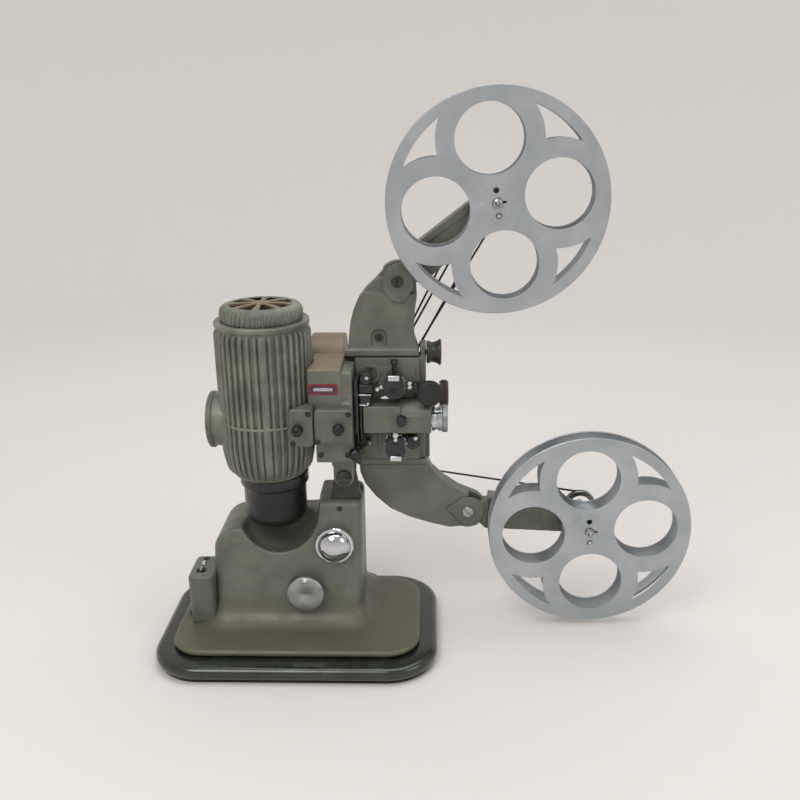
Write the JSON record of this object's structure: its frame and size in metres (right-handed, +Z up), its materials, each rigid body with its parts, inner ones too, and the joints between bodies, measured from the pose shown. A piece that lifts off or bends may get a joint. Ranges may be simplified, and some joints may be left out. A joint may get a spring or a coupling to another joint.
{
  "type": "film projector",
  "caption": "Table-top reel film projector: fluted lamp house, gear case with film gate and lens, two folding arms with large pierced reels, on a round-cornered base.",
  "frame": {"origin": "middle of the base, on the surface that the projector stands on", "axes": "+X towards the lens and the screen, +Y away from the operator, +Z up"},
  "size_m": [0.4681, 0.187, 0.4709],
  "materials": {
    "olive_paint": "satin crackle paint",
    "rim_paint": "gloss enamel",
    "bakelite": "satin",
    "dark_metal": "satin",
    "steel": "brushed",
    "chrome": "polished",
    "aluminium": "satin",
    "brass": "satin",
    "glass": "clear",
    "rubber": "matte",
    "felt": "matte felt",
    "ceramic": "matte",
    "filament_lamp": "clear"
  },
  "bodies": {
    "base": {"base_pad": "felt", "base_molding": "rim_paint", "base_casting": "olive_paint", "power_inlet": "olive_paint", "tilt_bracket": "dark_metal", "tilt_pin": "steel", "speed_resistor": "ceramic"},
    "switch_lever": {"lamp_switch_lever": "chrome"},
    "speed_knob": {"speed_knob": "aluminium"},
    "tilt_knob": {"tilt_knob": "chrome"},
    "head": {"shutter_housing": "olive_paint", "condenser_box": "olive_paint", "gate_cover": "olive_paint", "condenser_lens": "glass", "gear_case": "olive_paint", "mechanism_plate": "olive_paint", "gate_plate": "dark_metal", "pressure_plate": "steel", "lens_carrier": "olive_paint", "blower_housing": "olive_paint", "motor_housing": "olive_paint", "lamp_house": "olive_paint", "lamp_house_cap": "olive_paint", "mirror_housing": "olive_paint", "reflector": "chrome", "lamp_socket": "bakelite", "lamp_bulb": "filament_lamp", "upper_arm_post": "olive_paint", "lower_arm_post": "olive_paint", "feed_belt": "rubber", "rewind_belt": "rubber", "takeup_belt": "rubber", "takeup_drive_belt": "rubber", "motor_belt": "rubber"},
    "condenser_knob": {"condenser_knob": "bakelite"},
    "cover_knob": {"cover_knob": "bakelite"},
    "motor": {"motor_rotor": "steel", "fan_wheel": "aluminium", "hand_turn_knob": "bakelite"},
    "main_drive": {"main_shaft": "steel", "shutter": "dark_metal"},
    "upper_sprocket": {"upper_sprocket": "steel", "upper_sprocket_gear": "brass"},
    "lower_sprocket": {"lower_sprocket": "steel", "lower_sprocket_gear": "brass"},
    "takeup_pulley": {"takeup_pulley": "steel"},
    "claw": {"claw": "steel"},
    "upper_guard": {"upper_sprocket_guard": "dark_metal"},
    "lower_guard": {"lower_sprocket_guard": "dark_metal"},
    "lens": {"lens_barrel": "chrome"},
    "focus_knob": {"focus_knob": "bakelite"},
    "lens_lock_screw": {"lens_lock_screw": "bakelite"},
    "framer_knob": {"framer_knob": "dark_metal"},
    "clutch_lever": {"clutch_lever": "bakelite"},
    "upper_arm": {"upper_arm": "olive_paint"},
    "upper_reel": {"upper_spindle": "steel", "upper_reel": "aluminium"},
    "lower_arm": {"lower_arm": "olive_paint"},
    "lower_reel": {"lower_spindle": "steel", "lower_reel": "aluminium"}
  },
  "joints": [
    {"name": "head_tilt", "type": "hinge", "parent": "base", "child": "head", "pos_m": [0.042, 0.018, 0.151], "axis": [0, -1, 0], "range_deg": [0, 8]},
    {"name": "lamp_switch", "type": "hinge", "parent": "base", "child": "switch_lever", "pos_m": [-0.087, -0.006, 0.065], "axis": [0, -1, 0], "range_deg": [0, 48]},
    {"name": "speed_turn", "type": "hinge", "parent": "base", "child": "speed_knob", "pos_m": [0.0078, -0.02, 0.0529], "axis": [0, 1, 0], "range_deg": [0, 270]},
    {"name": "tilt_lock_turn", "type": "hinge", "parent": "base", "child": "tilt_knob", "pos_m": [0.0326, -0.01, 0.0908], "axis": [0, 1, 0], "range_deg": [0, 180]},
    {"name": "condenser_knob_turn", "type": "hinge", "parent": "head", "child": "condenser_knob", "pos_m": [0.0073, -0.02, 0.203], "axis": [0, -1, 0], "range_deg": [0, 180]},
    {"name": "cover_knob_turn", "type": "hinge", "parent": "head", "child": "cover_knob", "pos_m": [0.041, -0.018, 0.203], "axis": [0, -1, 0], "range_deg": [0, 180]},
    {"name": "motor_spin", "type": "hinge", "parent": "head", "child": "motor", "pos_m": [0.09, 0.08, 0.202], "axis": [1, 0, 0], "continuous": true},
    {"name": "shutter_spin", "type": "hinge", "parent": "head", "child": "main_drive", "pos_m": [0.08, 0.0415, 0.204], "axis": [1, 0, 0], "continuous": true},
    {"name": "upper_sprocket_spin", "type": "hinge", "parent": "head", "child": "upper_sprocket", "pos_m": [0.0862, 0.03, 0.229], "axis": [0, -1, 0], "continuous": true},
    {"name": "lower_sprocket_spin", "type": "hinge", "parent": "head", "child": "lower_sprocket", "pos_m": [0.087, 0.03, 0.179], "axis": [0, -1, 0], "continuous": true},
    {"name": "takeup_pulley_spin", "type": "hinge", "parent": "head", "child": "takeup_pulley", "pos_m": [0.078, 0.06, 0.131], "axis": [0, -1, 0], "continuous": true},
    {"name": "claw_stroke", "type": "slide", "parent": "head", "child": "claw", "axis": [0, 0, 1], "range_m": [0, 0.0076]},
    {"name": "upper_guard_turn", "type": "hinge", "parent": "head", "child": "upper_guard", "pos_m": [0.0862, 0.015, 0.229], "axis": [0, 1, 0], "range_deg": [0, 80]},
    {"name": "lower_guard_turn", "type": "hinge", "parent": "head", "child": "lower_guard", "pos_m": [0.087, 0.015, 0.179], "axis": [0, 1, 0], "range_deg": [0, 80]},
    {"name": "lens_focus", "type": "slide", "parent": "head", "child": "lens", "axis": [1, 0, 0], "range_m": [0, 0.008]},
    {"name": "focus_knob_turn", "type": "hinge", "parent": "head", "child": "focus_knob", "pos_m": [0.1162, 0.01, 0.2257], "axis": [0, -1, 0], "range_deg": [0, 180]},
    {"name": "lens_lock_turn", "type": "hinge", "parent": "head", "child": "lens_lock_screw", "pos_m": [0.0926, 0.003, 0.203], "axis": [0, -1, 0], "range_deg": [0, 180]},
    {"name": "framer_turn", "type": "hinge", "parent": "head", "child": "framer_knob", "pos_m": [0.12, 0.0425, 0.2523], "axis": [1, 0, 0], "range_deg": [-60, 60]},
    {"name": "clutch_swing", "type": "hinge", "parent": "head", "child": "clutch_lever", "pos_m": [0.0625, 0.027, 0.1748], "axis": [1, 0, 0], "range_deg": [0, 25]},
    {"name": "upper_arm_fold", "type": "hinge", "parent": "head", "child": "upper_arm", "pos_m": [0.0894, 0.04, 0.316], "axis": [0, -1, 0], "range_deg": [0, 85], "deforming": ["feed_belt", "rewind_belt"]},
    {"name": "upper_reel_spin", "type": "hinge", "parent": "upper_arm", "child": "upper_reel", "pos_m": [0.17, 0.02, 0.382], "axis": [0, -1, 0], "continuous": true},
    {"name": "lower_arm_fold", "type": "hinge", "parent": "head", "child": "lower_arm", "pos_m": [0.1505, 0.04, 0.1051], "axis": [0, -1, 0], "range_deg": [0, 45], "deforming": ["takeup_belt"]},
    {"name": "lower_reel_spin", "type": "hinge", "parent": "lower_arm", "child": "lower_reel", "pos_m": [0.2569, 0.02, 0.0955], "axis": [0, -1, 0], "continuous": true}
  ],
  "couplings": [
    {"joint": "shutter_spin", "follows": "motor_spin", "ratio": 1},
    {"joint": "upper_sprocket_spin", "follows": "motor_spin", "ratio": 0.083333},
    {"joint": "lower_sprocket_spin", "follows": "motor_spin", "ratio": 0.083333},
    {"joint": "takeup_pulley_spin", "follows": "motor_spin", "ratio": 0.083333},
    {"joint": "focus_knob_turn", "follows": "lens_focus", "rad_per_m": 392.5}
  ]
}
